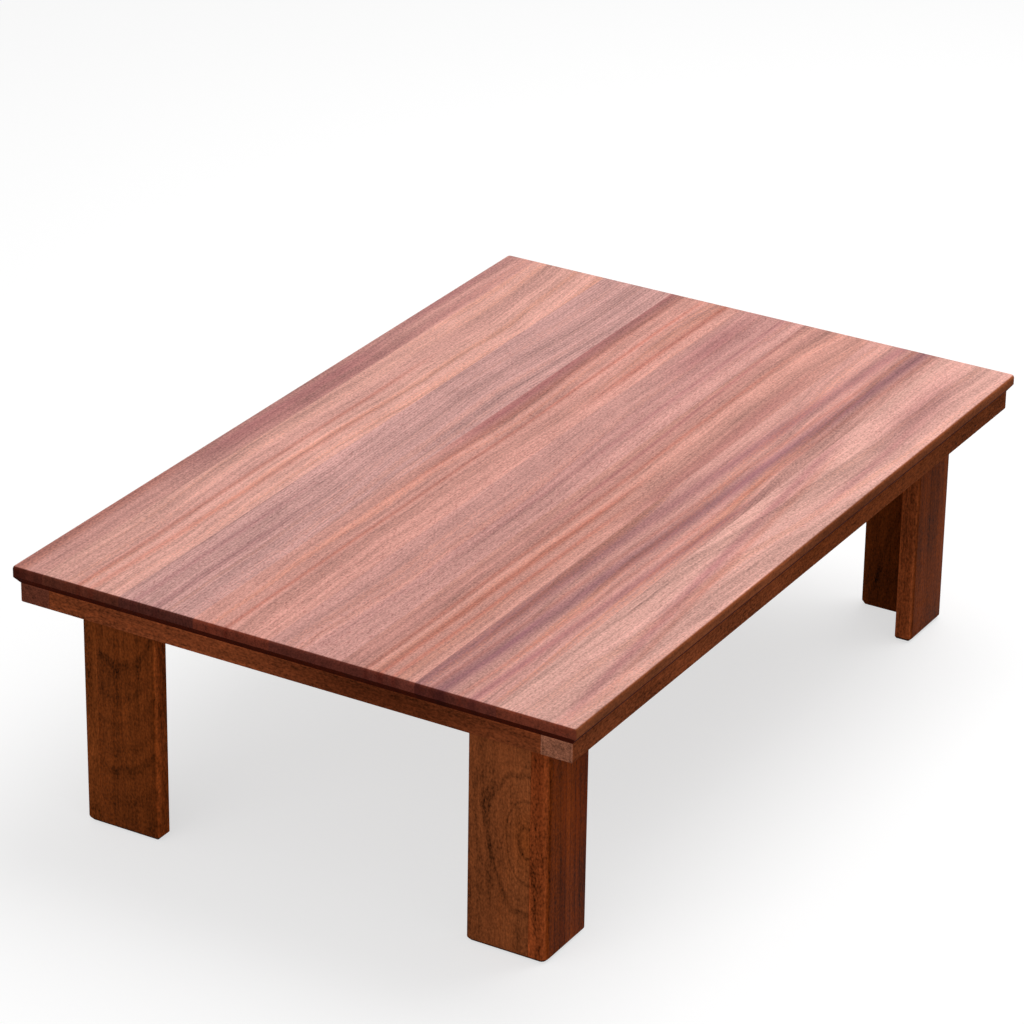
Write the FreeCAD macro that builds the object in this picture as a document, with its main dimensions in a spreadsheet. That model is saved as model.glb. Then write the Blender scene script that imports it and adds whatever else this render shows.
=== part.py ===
import FreeCAD, Part
from Sketcher import Constraint
import os
import re

# A low coffee table in solid wood, in millimetres.
# X runs across the short side, Y along the long side and Z up.
# The origin is on the floor under the middle of the top.
# Eight planks are glued edge to edge into the top, and its edge is rounded above and bevelled below.
# A rim of four aprons is glued up under the top, the short ones tenoned into the long ones.
# Two battens across the planks, screwed from below, keep the top flat.
# Each of the four legs is an L of two boards, a tongue of one in a groove of the other.
# A block in the corner of each L takes the bolt that draws the leg up to the top.

# Driving sizes: name, value and what it measures
SIZES = (
    ("top_length", 900.0, "long side of the top at its widest"),
    ("top_width", 600.0, "short side of the top at its widest"),
    ("top_thickness", 18.0, "thickness of the planks"),
    ("arris_radius", 3.5, "rounding of the top's upper edge"),
    ("top_corner_extra", 0.5, "plan radius of the top's corners, over that of the upper edge"),
    ("bevel_across", 6.0, "bevel under the top's edge"),
    ("bevel_up", 8.0, "bevel under the top's edge"),
    ("apron_height", 20.0, "depth of the rim below the top"),
    ("apron_width", 32.0, "width of an apron from outside to inside"),
    ("apron_inset_side", 6.0, "rim set in from the long edges"),
    ("apron_inset_end", 6.0, "rim set in from the short edges"),
    ("apron_arris", 1.0, "bevel on the aprons' lower edges"),
    ("tenon_length", 10.0, "tenon of a short apron"),
    ("tenon_width", 18.0, "tenon, from outside to inside"),
    ("tenon_thickness", 8.0, "tenon, up and down"),
    ("tenon_clearance", 0.2, "room round a tenon"),
    ("mortise_end_room", 0.5, "room past the end of a tenon"),
    ("leg_length", 254.0, "floor to the underside of the top"),
    ("leg_board", 18.0, "thickness of the leg boards"),
    ("leg_end_width", 84.0, "leg across the short side of the table"),
    ("leg_side_width", 75.0, "leg along the long side of the table"),
    ("leg_gap_side", 10.0, "long apron to the leg's outer face"),
    ("leg_gap_end", 1.0, "short apron to the leg's outer face"),
    ("foot_bevel", 4.0, "bevel round the foot"),
    ("foot_corner_radius", 4.0, "outer corner's radius below the bevel"),
    ("foot_edge_radius", 1.0, "free edges' radius below the bevel"),
    ("tongue_length", 6.0, "tongue of the end board"),
    ("tongue_thickness", 6.0, "tongue of the end board"),
    ("tongue_clearance", 0.2, "room each side of the tongue"),
    ("groove_end_room", 0.5, "room past the tongue's edge"),
    ("block_length", 50.0, "corner block along the end board"),
    ("block_depth", 40.0, "corner block along the side board"),
    ("block_height", 40.0, "corner block, up and down"),
    ("block_bevel", 12.0, "bevel of the block's free corner"),
    ("batten_width", 45.0, "batten along the table"),
    ("batten_height", 16.0, "batten, up and down"),
    ("batten_bevel", 3.0, "bevel of the batten's lower edges"),
    ("batten_end_gap", 1.0, "batten to the long aprons"),
    ("batten_spacing", 380.0, "between the middles of the two battens"),
    ("bolt_diameter", 8.0, "leg bolt"),
    ("bolt_clearance", 0.5, "room round the bolt in the block"),
    ("bolt_head_flats", 13.0, "hexagon head across its flats"),
    ("bolt_head_height", 5.3, "hexagon head"),
    ("bolt_end_room", 2.0, "bolt's end to the end of the insert"),
    ("washer_diameter", 20.0, "washer under the bolt's head"),
    ("washer_thickness", 1.6, "washer under the bolt's head"),
    ("washer_clearance", 0.3, "room round the bolt in the washer"),
    ("insert_diameter", 12.0, "threaded insert in the top"),
    ("insert_cover", 5.0, "wood left above the insert"),
    ("insert_clearance", 0.1, "room round the insert and above it"),
    ("thread_clearance", 0.1, "room round a thread in its hole"),
    ("screw_diameter", 4.0, "wood screw"),
    ("screw_head_diameter", 8.0, "countersunk head"),
    ("screw_point_length", 4.0, "taper at the screw's end"),
    ("screw_cover", 8.0, "wood left above a screw's point"),
    ("screw_clearance", 0.3, "room round a screw in the batten"),
    ("screw_margin", 60.0, "first and last screw from the batten's ends"),
    ("overrun", 1.0, "how far a drill starts outside the wood"),
)

# Where the seams between planks lie, as shares of the top's width from its left long edge
# The first and the last lie outside the top, so that the outer planks take in its edges.
SEAM_SHARES = (-0.01, 0.059, 0.201, 0.337, 0.473, 0.601, 0.728, 0.867, 1.01)

BATTEN_SCREWS = 3

SIZE_NAMES = {name for name, size, note in SIZES}

# Two lengths that differ by less are taken as the same
SAME_LENGTH = 1e-4

# Lengths worked out from the driving sizes
LONG_APRON_LENGTH = "(top_length - 2 * apron_inset_end)"
SHORT_APRON_LENGTH = "(top_width - 2 * apron_inset_side - 2 * apron_width)"
BATTEN_LENGTH = "(" + SHORT_APRON_LENGTH + " - 2 * batten_end_gap)"
LEG_X = "(top_width / 2 - apron_inset_side - apron_width - leg_gap_side)"
LEG_Y = "(top_length / 2 - apron_inset_end - apron_width - leg_gap_end)"
BOLT_X = "(" + LEG_X + " - leg_board - block_length / 2)"
BOLT_Y = "(" + LEG_Y + " - leg_board - block_depth / 2)"
INSERT_LENGTH = "(top_thickness - insert_cover)"
BOLT_SHANK = "(washer_thickness + block_height + " + INSERT_LENGTH + " - bolt_end_room)"
SCREW_LENGTH = "(batten_height + top_thickness - screw_cover)"

# Near and far, left and right: name, turn about Z in degrees, and hand
# A leg turned half round serves the opposite corner, so two hands make all four.
LEG_PLACES = (
    ("near_left", 0, 1),
    ("near_right", 0, -1),
    ("far_left", 180, -1),
    ("far_right", 180, 1),
)

doc = FreeCAD.newDocument("coffee_table")
sheet = doc.addObject("Spreadsheet::Sheet", "Sizes")


def fill_sheet():
    """Write the driving sizes into the sheet, one row each, with the name as the alias."""
    for row, (name, size, note) in enumerate(SIZES, start=1):
        sheet.set(f"A{row}", name)
        sheet.set(f"B{row}", str(size))
        sheet.set(f"C{row}", note)
        sheet.setAlias(f"B{row}", name)
    doc.recompute()


def from_sheet(text):
    """Turn a sum of size names into an expression on the sheet's cells."""
    return re.sub(r"[a-z_]+", lambda word: "Sizes." + word[0] if word[0] in SIZE_NAMES else word[0], text)


def value(text):
    """Work out a sum of size names."""
    return float(sheet.evalExpression(from_sheet(text)))


def bind(thing, prop, text):
    """Tie a property to a sum of size names."""
    thing.setExpression(prop, from_sheet(text))


def place(thing, x="0", y="0", z="0", turn=0):
    """Put a sub-part at a point given by sums of size names, turned about Z."""
    thing.Placement = FreeCAD.Placement(
        FreeCAD.Vector(value(x), value(y), value(z)),
        FreeCAD.Rotation(FreeCAD.Vector(0, 0, 1), turn),
    )
    for axis, text in (("x", x), ("y", y), ("z", z)):
        bind(thing, "Placement.Base." + axis, text)


# Sketches

def new_body(name):
    """Start a sub-part's body."""
    body = doc.addObject("PartDesign::Body", name)
    body.Label = name
    return body


def new_sketch(body, role, lift=None):
    """Start a sketch on one of the body's own origin planes, lifted off it where asked."""
    sketch = body.newObject("Sketcher::SketchObject", body.Name + "_sketch")
    plane = [feature for feature in body.Origin.OriginFeatures if feature.Role == role][0]
    sketch.AttachmentSupport = [(plane, "")]
    sketch.MapMode = "FlatFace"
    if lift:
        bind(sketch, "AttachmentOffset.Base.z", lift)
    return sketch


def hold_point(sketch, geometry, end, x, y):
    """Fix a point of a sketch at sums of size names, measured from the sketch's origin."""
    for kind, axis, text in (("DistanceX", -2, x), ("DistanceY", -1, y)):
        distance = value(text)
        if distance == 0:
            sketch.addConstraint(Constraint("PointOnObject", geometry, end, axis))
        elif distance > 0:
            number = sketch.addConstraint(Constraint(kind, -1, 1, geometry, end, distance))
            bind(sketch, f"Constraints[{number}]", text)
        else:
            number = sketch.addConstraint(Constraint(kind, geometry, end, -1, 1, -distance))
            bind(sketch, f"Constraints[{number}]", f"-({text})")


def outline_sketch(body, role, outlines, lift=None):
    """Draw closed outlines of straight lines, each through points given by sums of size names."""
    sketch = new_sketch(body, role, lift)
    for points in outlines:
        spots = [FreeCAD.Vector(value(x), value(y), 0) for x, y in points]
        lines = [sketch.addGeometry(Part.LineSegment(a, b)) for a, b in zip(spots, spots[1:] + spots[:1])]
        for line, after in zip(lines, lines[1:] + lines[:1]):
            sketch.addConstraint(Constraint("Coincident", line, 2, after, 1))
        for line, (x, y) in zip(lines, points):
            hold_point(sketch, line, 1, x, y)
    return sketch


def box_sketch(body, role, low, high, lift=None):
    """Draw a rectangle between two opposite corners."""
    corners = ((low[0], low[1]), (high[0], low[1]), (high[0], high[1]), (low[0], high[1]))
    return outline_sketch(body, role, (corners,), lift)


def circle_sketch(body, role, centre, radii, lift=None):
    """Draw circles about one centre."""
    sketch = new_sketch(body, role, lift)
    middle = FreeCAD.Vector(value(centre[0]), value(centre[1]), 0)
    for radius in radii:
        circle = sketch.addGeometry(Part.Circle(middle, FreeCAD.Vector(0, 0, 1), value(radius)))
        hold_point(sketch, circle, 3, *centre)
        number = sketch.addConstraint(Constraint("Radius", circle, value(radius)))
        bind(sketch, f"Constraints[{number}]", radius)
    return sketch


# Features

def pad(body, sketch, length):
    """Raise a sketch along its plane's normal."""
    feature = body.newObject("PartDesign::Pad", body.Name + "_pad")
    feature.Profile = sketch
    bind(feature, "Length", length)
    sketch.Visibility = False
    doc.recompute()
    return feature


def pocket(body, sketch, length=None):
    """Cut a sketch along its plane's normal, right through where no length is given."""
    before = body.Shape.Volume
    feature = body.newObject("PartDesign::Pocket", body.Name + "_pocket")
    feature.Profile = sketch
    feature.Reversed = True
    if length:
        bind(feature, "Length", length)
    else:
        feature.Type = "ThroughAll"
    doc.recompute()
    if not body.Shape.Volume < before:
        raise ValueError(feature.Name + " cuts nothing")
    return feature


def repeat(body, feature, sketch, axis, length, count):
    """Repeat a cut evenly along an axis of its sketch."""
    before = body.Shape.Volume
    pattern = body.newObject("PartDesign::LinearPattern", body.Name + "_pattern")
    pattern.Originals = [feature]
    pattern.Direction = (sketch, [axis])
    bind(pattern, "Length", length)
    pattern.Occurrences = count
    body.Tip = pattern
    doc.recompute()
    if not body.Shape.Volume < before:
        raise ValueError(pattern.Name + " repeats nothing")
    return pattern


def near(a, b):
    """Tell whether two lengths are the same."""
    return abs(a - b) < SAME_LENGTH


def edge_names(body, wanted):
    """Name the edges of a body's last feature whose middle point passes a test."""
    names = []
    for number, edge in enumerate(body.Tip.Shape.Edges, start=1):
        middle = edge.valueAt((edge.FirstParameter + edge.LastParameter) / 2)
        if wanted(middle, edge):
            names.append(f"Edge{number}")
    return names


def dress(body, kind, prop, size, wanted):
    """Round or bevel the edges that pass a test."""
    base, edges = body.Tip, edge_names(body, wanted)
    if not edges:
        raise ValueError(body.Label + " has no such edge")
    feature = body.newObject("PartDesign::" + kind, body.Name + "_" + kind.lower())
    feature.Base = (base, edges)
    bind(feature, prop, size)
    doc.recompute()
    return feature


def round_edges(body, radius, wanted):
    """Round the edges that pass a test."""
    return dress(body, "Fillet", "Radius", radius, wanted)


def bevel_edges(body, size, wanted):
    """Bevel the edges that pass a test, alike on both faces."""
    return dress(body, "Chamfer", "Size", size, wanted)


def is_upright(edge):
    """Tell whether an edge runs straight up."""
    box = edge.BoundBox
    return near(box.XLength, 0) and near(box.YLength, 0)


def is_round(edge):
    """Tell whether an edge is a whole circle."""
    return edge.Closed and isinstance(edge.Curve, Part.Circle)


def drill_screw_holes(body, sketch, axis, run, count):
    """Drill a row of countersunk holes from below, the first where the sketch has its circle."""
    hole = pocket(body, sketch)
    repeat(body, hole, sketch, axis, run, count)
    bevel_edges(
        body,
        "screw_head_diameter / 2 - screw_diameter / 2",
        lambda middle, edge: is_round(edge) and near(middle.z, 0),
    )


# The top

def bevel_outline(half, side):
    """Give the outline that cuts the bevel under one edge of the top, seen along that edge."""
    edge = f"{side} * {half}"
    inner = f"{side} * ({half} - bevel_across)"
    outer = f"{side} * ({half} + overrun)"
    return ((inner, "0"), (edge, "bevel_up"), (outer, "bevel_up"), (outer, "-overrun"), (inner, "-overrun"))


def top_blank():
    """Make the whole top as it leaves the glue-up, with its edge rounded above and bevelled below."""
    body = new_body("top_blank")
    low, high = ("-top_width / 2", "-top_length / 2"), ("top_width / 2", "top_length / 2")
    pad(body, box_sketch(body, "XY_Plane", low, high), "top_thickness")
    thick = value("top_thickness")
    round_edges(body, "arris_radius + top_corner_extra", lambda middle, edge: is_upright(edge))
    round_edges(body, "arris_radius", lambda middle, edge: near(middle.z, thick))
    for role, half, run in (
        ("XZ_Plane", "(top_width / 2)", "(top_length / 2)"),
        ("YZ_Plane", "(top_length / 2)", "(top_width / 2)"),
    ):
        outlines = [bevel_outline(half, side) for side in (-1, 1)]
        pocket(body, outline_sketch(body, role, outlines, f"-({run} + overrun)"))
    place(body, z="leg_length")
    return body


def drill(x, y, radius, depth):
    """Make a drill that goes up into the top's underside."""
    tool = doc.addObject("Part::Cylinder", "drill")
    bind(tool, "Radius", radius)
    bind(tool, "Height", depth + " + overrun")
    place(tool, x, y, "leg_length - overrun")
    return tool


def plank(number, drilled):
    """Make one plank of the top, the part of it between two seams."""
    left, right = SEAM_SHARES[number - 1], SEAM_SHARES[number]
    slice_box = doc.addObject("Part::Box", "slice")
    bind(slice_box, "Length", f"top_width * ({right} - {left})")
    bind(slice_box, "Width", "top_length + 2 * overrun")
    bind(slice_box, "Height", "top_thickness + 2 * overrun")
    place(slice_box, f"top_width * ({left} - 0.5)", "-top_length / 2 - overrun", "leg_length - overrun")
    common = doc.addObject("Part::Common", f"top_plank_{number}")
    common.Label = f"top_plank_{number}"
    common.Base = drilled
    common.Tool = slice_box
    return common


def top(screw_spots, bolt_spots):
    """Make the planks, drilled from below."""
    reach = "top_thickness - screw_cover"
    pilot = "screw_diameter / 2 + thread_clearance"
    drills = [drill(x, y, pilot, reach + " + thread_clearance") for x, y in screw_spots]
    drills += [
        drill(x, y, "insert_diameter / 2 + insert_clearance", INSERT_LENGTH + " + insert_clearance")
        for x, y in bolt_spots
    ]
    drilling = doc.addObject("Part::Compound", "drilling")
    drilling.Links = drills
    drilled = doc.addObject("Part::Cut", "drilled_top")
    drilled.Base = top_blank()
    drilled.Tool = drilling
    return [plank(number, drilled) for number in range(1, len(SEAM_SHARES))]


# The rim

def long_apron(name, turn):
    """Make a long apron, mortised at both ends of its inner face, which is at x = 0."""
    body = new_body(name)
    pad(body, box_sketch(body, "XY_Plane", ("0", "0"), ("apron_width", LONG_APRON_LENGTH)), "apron_height")
    bevel_edges(
        body,
        "apron_arris",
        lambda middle, edge: near(middle.z, 0) and not near(middle.x, 0),
    )
    for end in ("apron_width / 2", LONG_APRON_LENGTH + " - apron_width / 2"):
        half_width = "(tenon_width / 2 + tenon_clearance)"
        half_thickness = "(tenon_thickness / 2 + tenon_clearance)"
        low = (f"{end} - {half_width}", f"apron_height / 2 - {half_thickness}")
        high = (f"{end} + {half_width}", f"apron_height / 2 + {half_thickness}")
        pocket(body, box_sketch(body, "YZ_Plane", low, high), "tenon_length + mortise_end_room")
    side = -1 if turn else 1
    place(
        body,
        f"{side} * (top_width / 2 - apron_inset_side - apron_width)",
        f"{-side} * (top_length / 2 - apron_inset_end)",
        "leg_length - apron_height",
        turn,
    )
    return body


def short_apron(name, turn):
    """Make a short apron with a tenon at each end. Its outer face is at y = 0."""
    body = new_body(name)
    shoulder = ("tenon_length", "0")
    far_shoulder = ("tenon_length + " + SHORT_APRON_LENGTH, "apron_width")
    pad(body, box_sketch(body, "XY_Plane", shoulder, far_shoulder), "apron_height")
    bevel_edges(
        body,
        "apron_arris",
        lambda middle, edge: near(middle.z, 0) and near(middle.y, 0),
    )
    low = ("apron_width / 2 - tenon_width / 2", "apron_height / 2 - tenon_thickness / 2")
    high = ("apron_width / 2 + tenon_width / 2", "apron_height / 2 + tenon_thickness / 2")
    pad(body, box_sketch(body, "YZ_Plane", low, high), SHORT_APRON_LENGTH + " + 2 * tenon_length")
    side = -1 if turn else 1
    place(
        body,
        f"{-side} * ({SHORT_APRON_LENGTH} / 2 + tenon_length)",
        f"{-side} * (top_length / 2 - apron_inset_end)",
        "leg_length - apron_height",
        turn,
    )
    return body


def batten(name, side):
    """Make a cross batten that keeps the glued-up top flat."""
    body = new_body(name)
    pad(body, box_sketch(body, "XY_Plane", ("0", "0"), (BATTEN_LENGTH, "batten_width")), "batten_height")
    bevel_edges(
        body,
        "batten_bevel",
        lambda middle, edge: near(middle.z, 0) and not near(edge.BoundBox.XLength, 0),
    )
    radius = "screw_diameter / 2 + screw_clearance"
    row = circle_sketch(body, "XY_Plane", ("screw_margin", "batten_width / 2"), (radius,))
    drill_screw_holes(body, row, "H_Axis", BATTEN_LENGTH + " - 2 * screw_margin", BATTEN_SCREWS)
    place(
        body,
        f"-{BATTEN_LENGTH} / 2",
        f"{side} * batten_spacing / 2 - batten_width / 2",
        "leg_length - batten_height",
    )
    return body


# The legs

def place_leg_piece(body, turn, hand):
    """Put a piece of a leg in its corner. Its own origin is the leg's outer corner on the floor."""
    across = -hand if not turn else hand
    along = -1 if not turn else 1
    place(body, f"{across} * {LEG_X}", f"{along} * {LEG_Y}", "0", turn)


def side_board(name, turn, hand):
    """Make the board along the table's long side, grooved for the other board's tongue."""
    body = new_body(name + "_side_board")
    wide, thick = value("leg_side_width"), value("leg_board")
    pad(
        body,
        box_sketch(body, "XY_Plane", ("0", "0"), (f"{hand} * leg_board", "leg_side_width")),
        "leg_length",
    )
    round_edges(
        body,
        "foot_bevel + foot_corner_radius",
        lambda middle, edge: is_upright(edge) and near(middle.x, 0) and near(middle.y, 0),
    )
    round_edges(
        body,
        "foot_bevel + foot_edge_radius",
        lambda middle, edge: is_upright(edge) and near(middle.x, 0) and near(middle.y, wide),
    )
    bevel_edges(
        body,
        "foot_bevel",
        lambda middle, edge: near(middle.z, 0) and not near(middle.x, hand * thick),
    )
    half_groove = "(tongue_thickness / 2 + tongue_clearance)"
    low = (f"{hand} * (leg_board - tongue_length - groove_end_room)", f"leg_board / 2 - {half_groove}")
    high = (f"{hand} * (leg_board + overrun)", f"leg_board / 2 + {half_groove}")
    pocket(body, box_sketch(body, "XY_Plane", low, high))
    place_leg_piece(body, turn, hand)
    return body


def end_board(name, turn, hand):
    """Make the board across the table's short side, with the tongue on its edge."""
    body = new_body(name + "_end_board")
    wide, thick = value("leg_end_width"), value("leg_board")
    pad(
        body,
        box_sketch(body, "XY_Plane", (f"{hand} * leg_board", "0"), (f"{hand} * leg_end_width", "leg_board")),
        "leg_length",
    )
    round_edges(
        body,
        "foot_bevel + foot_edge_radius",
        lambda middle, edge: is_upright(edge) and near(middle.x, hand * wide) and near(middle.y, 0),
    )
    bevel_edges(
        body,
        "foot_bevel",
        lambda middle, edge: near(middle.z, 0)
        and not near(middle.x, hand * thick)
        and not near(middle.y, thick),
    )
    low = (f"{hand} * (leg_board - tongue_length)", "leg_board / 2 - tongue_thickness / 2")
    high = (f"{hand} * (leg_board + overrun)", "leg_board / 2 + tongue_thickness / 2")
    pad(body, box_sketch(body, "XY_Plane", low, high), "leg_length")
    place_leg_piece(body, turn, hand)
    return body


def corner_block(name, turn, hand):
    """Make the block glued into the corner of a leg, drilled for the leg's bolt."""
    body = new_body(name + "_corner_block")
    low = (f"{hand} * leg_board", "leg_board")
    high = (f"{hand} * (leg_board + block_length)", "leg_board + block_depth")
    lift = "leg_length - block_height"
    pad(body, box_sketch(body, "XY_Plane", low, high, lift), "block_height")
    far_x, far_y = hand * value("leg_board + block_length"), value("leg_board + block_depth")
    bevel_edges(
        body,
        "block_bevel",
        lambda middle, edge: is_upright(edge) and near(middle.x, far_x) and near(middle.y, far_y),
    )
    centre = (f"{hand} * (leg_board + block_length / 2)", "leg_board + block_depth / 2")
    pocket(body, circle_sketch(body, "XY_Plane", centre, ("bolt_diameter / 2 + bolt_clearance",), lift))
    place_leg_piece(body, turn, hand)
    return body


# Fasteners

def bolt():
    """Make a leg bolt that points up, with the outer face of its head at z = 0."""
    body = new_body("bolt")
    half_flat, short, long = "bolt_head_flats / 2", "bolt_head_flats / sqrt(12)", "bolt_head_flats / sqrt(3)"
    hexagon = (
        (half_flat, short),
        ("0", long),
        ("-" + half_flat, short),
        ("-" + half_flat, "-" + short),
        ("0", "-" + long),
        (half_flat, "-" + short),
    )
    pad(body, outline_sketch(body, "XY_Plane", (hexagon,)), "bolt_head_height")
    shank = circle_sketch(body, "XY_Plane", ("0", "0"), ("bolt_diameter / 2",))
    pad(body, shank, "bolt_head_height + " + BOLT_SHANK)
    return body


def ring(name, outer, bore, height):
    """Make a plain ring about Z."""
    body = new_body(name)
    pad(body, circle_sketch(body, "XY_Plane", ("0", "0"), (outer, bore)), height)
    return body


def screw(name, length):
    """Turn a countersunk wood screw that points up, its head's face at z = 0."""
    body = new_body(name)
    profile = (
        ("0", "0"),
        ("screw_head_diameter / 2", "0"),
        ("screw_diameter / 2", "screw_head_diameter / 2 - screw_diameter / 2"),
        ("screw_diameter / 2", length + " - screw_point_length"),
        ("0", length),
    )
    sketch = outline_sketch(body, "XZ_Plane", (profile,))
    turned = body.newObject("PartDesign::Revolution", name + "_turned")
    turned.Profile = sketch
    turned.ReferenceAxis = (sketch, ["V_Axis"])
    doc.recompute()
    return body


def group(name, master, spots, height):
    """Set copies of one fastener at several spots and one height, as separate solids."""
    copies = []
    for x, y in spots:
        copy = master.Shape.copy()
        copy.translate(FreeCAD.Vector(value(x), value(y), value(height)))
        copies.append(copy)
    feature = doc.addObject("Part::Feature", name)
    feature.Label = name
    feature.Shape = Part.makeCompound(copies)
    return feature


def fastener_spots():
    """Give the plan places of the batten screws, evenly spaced along each batten, and of the leg bolts."""
    first = f"screw_margin - {BATTEN_LENGTH} / 2"
    step = f"({BATTEN_LENGTH} - 2 * screw_margin) / {BATTEN_SCREWS - 1}"
    along_batten = [f"({first} + {number} * {step})" for number in range(BATTEN_SCREWS)]
    screws, bolts = [], []
    for end in (-1, 1):
        screws += [(x, f"{end} * batten_spacing / 2") for x in along_batten]
        bolts += [(f"{side} * {BOLT_X}", f"{end} * {BOLT_Y}") for side in (-1, 1)]
    return screws, bolts


def fasteners(screw_spots, bolt_spots):
    """Make each kind of fastener once and set its copies."""
    bolt_hole = "bolt_diameter / 2 + washer_clearance"
    thread = "bolt_diameter / 2 + thread_clearance"
    washer = ring("washer", "washer_diameter / 2", bolt_hole, "washer_thickness")
    insert = ring("insert", "insert_diameter / 2", thread, INSERT_LENGTH)
    below_block = "leg_length - block_height - washer_thickness"
    return [
        group("leg_bolts", bolt(), bolt_spots, below_block + " - bolt_head_height"),
        group("bolt_washers", washer, bolt_spots, below_block),
        group("threaded_inserts", insert, bolt_spots, "leg_length"),
        group("batten_screws", screw("screw", SCREW_LENGTH), screw_spots, "leg_length - batten_height"),
    ]


def build():
    """Make every sub-part of the table."""
    fill_sheet()
    spots = fastener_spots()
    parts = top(*spots)
    parts += [long_apron("apron_long_right", 0), long_apron("apron_long_left", 180)]
    parts += [short_apron("apron_short_near", 0), short_apron("apron_short_far", 180)]
    parts += [batten("batten_near", -1), batten("batten_far", 1)]
    for corner, turn, hand in LEG_PLACES:
        name = "leg_" + corner
        parts.append(side_board(name, turn, hand))
        parts.append(end_board(name, turn, hand))
        parts.append(corner_block(name, turn, hand))
    parts += fasteners(*spots)
    doc.recompute()
    return parts


def check(parts):
    """Stop if any object failed or any sub-part's shape is missing or not valid."""
    for thing in doc.Objects:
        if "Invalid" in thing.State or "Error" in thing.State:
            raise ValueError(f"{thing.Name} failed: {thing.State}")
    for part in parts:
        if part.Shape.isNull() or not part.Shape.isValid():
            raise ValueError(part.Label + " has no valid shape")


def write(parts):
    """Write each sub-part to its own file."""
    os.makedirs("parts", exist_ok=True)
    for part in parts:
        part.Shape.exportStep(os.path.join("parts", part.Label + ".step"))


made = build()
check(made)
write(made)
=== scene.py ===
import logging
import math
from dataclasses import dataclass, field, replace
from enum import Enum
from typing import Any, Callable, Optional, Sequence, Union

import bpy
from mathutils import Matrix, Vector


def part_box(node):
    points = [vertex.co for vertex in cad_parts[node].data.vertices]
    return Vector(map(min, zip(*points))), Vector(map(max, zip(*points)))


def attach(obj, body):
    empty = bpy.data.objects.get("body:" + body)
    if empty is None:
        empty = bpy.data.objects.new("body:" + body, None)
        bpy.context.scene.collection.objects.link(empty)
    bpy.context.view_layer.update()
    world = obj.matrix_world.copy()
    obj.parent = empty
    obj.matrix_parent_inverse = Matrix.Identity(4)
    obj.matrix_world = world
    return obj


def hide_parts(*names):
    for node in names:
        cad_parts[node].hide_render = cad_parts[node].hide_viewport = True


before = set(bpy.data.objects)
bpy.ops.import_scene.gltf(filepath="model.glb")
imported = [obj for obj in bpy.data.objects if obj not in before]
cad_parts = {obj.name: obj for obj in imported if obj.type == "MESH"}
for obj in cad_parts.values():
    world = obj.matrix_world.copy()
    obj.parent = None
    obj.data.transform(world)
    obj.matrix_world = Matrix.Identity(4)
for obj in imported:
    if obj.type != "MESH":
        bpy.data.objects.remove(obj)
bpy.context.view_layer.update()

# The dressed look of a low coffee table in solid wood, in metres, in the part's own frame.
# X runs across the short side, Y along the long side from the near end, and Z up from the floor.

log = logging.getLogger("coffee_table")

FLOOR_LEVEL = -0.0002
WHOLE_TURN = 2 * math.pi
ORIGIN = (0.0, 0.0, 0.0)
UP = (0.0, 0.0, 1.0)
WHITE = (1.0, 1.0, 1.0, 1.0)
TOP_WIDTH = 0.6
TOP_LENGTH = 0.9
TOP_LOW = 0.254
TOP_HIGH = 0.272
TOP_BOX = ((-TOP_WIDTH / 2, -TOP_LENGTH / 2, TOP_LOW), (TOP_WIDTH / 2, TOP_LENGTH / 2, TOP_HIGH))

# The Mix node's own numbers for its share, its two colours and the colour that comes out
MIX_SHARE, MIX_FIRST, MIX_SECOND, MIX_COLOUR = 0, 6, 7, 2

Colour = tuple[float, float, float]
Socket = bpy.types.NodeSocket
Feed = Union[Socket, float, Sequence[float]]


def paint(red: float, green: float, blue: float) -> Colour:
    """Turn a paint chip's 0 to 255 values into the light it reflects, by the sRGB standard's curve.

    Args:
        red: The chip's red.
        green: The chip's green.
        blue: The chip's blue.

    Returns:
        The three shares of light.
    """
    shares = []
    for chip in (red, green, blue):
        part = chip / 255
        shares.append(part / 12.92 if part <= 0.04045 else ((part + 0.055) / 1.055) ** 2.4)
    return shares[0], shares[1], shares[2]


class Cut(Enum):
    """How a board lies: which of the table's axes run across it, along its grain and through it."""

    LENGTHWISE = (0, 1, 2)
    CROSSWISE = (1, 0, 2)
    UPRIGHT_FACING_END = (0, 2, 1)
    UPRIGHT_FACING_SIDE = (1, 2, 0)


@dataclass(frozen=True)
class Knot:
    """A knot's place on a board from its middle, its reach and how hard it bends the rings."""

    across: float
    along: float
    reach_across: float
    reach_along: float
    turns: float


@dataclass(frozen=True)
class Rings:
    """How a board cuts the tree's growth rings: where the heart lies and how close the rings are.

    The nearer the line is to one, the thinner the dark rings.
    """

    across: float = 0.3
    deep: float = 0.05
    rise: float = 0.0
    rate: float = 95.0
    phase: float = 0.0
    contrast: float = 0.1
    knot: Optional[Knot] = None
    line: float = 0.45
    ragged: float = 1.0


@dataclass(frozen=True)
class Stripe:
    """A stripe along the top, placed at the far end, the middle and the near end.

    Places across are shares of the top's width from its left edge. Where it starts and ends are
    shares of the top's length from its far edge.
    """

    far: float
    middle: float
    near: float
    width: float
    strength: float
    start: float = -0.3
    end: float = 1.3
    colour: Colour = (0.42, 0.36, 0.5)


@dataclass(frozen=True)
class Board:
    """One board's own look: its tone, its rings, how its grain slants and how it is streaked."""

    node: str
    cut: Cut
    seed: float
    tone: Colour
    # The edge tone is painted light and shade, and the bevel tone is painted shade on faces that turn down.
    painted_edge_shading: Optional[Colour] = None
    end_tone: Optional[Colour] = None
    painted_bevel_shade: Optional[Colour] = None
    under_tone: Optional[Colour] = None
    rings: Rings = Rings()
    slant: float = 0.0
    purple: float = 0.3
    orange: float = 0.2
    pores: float = 0.5
    stripes: tuple[Stripe, ...] = ()


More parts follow.
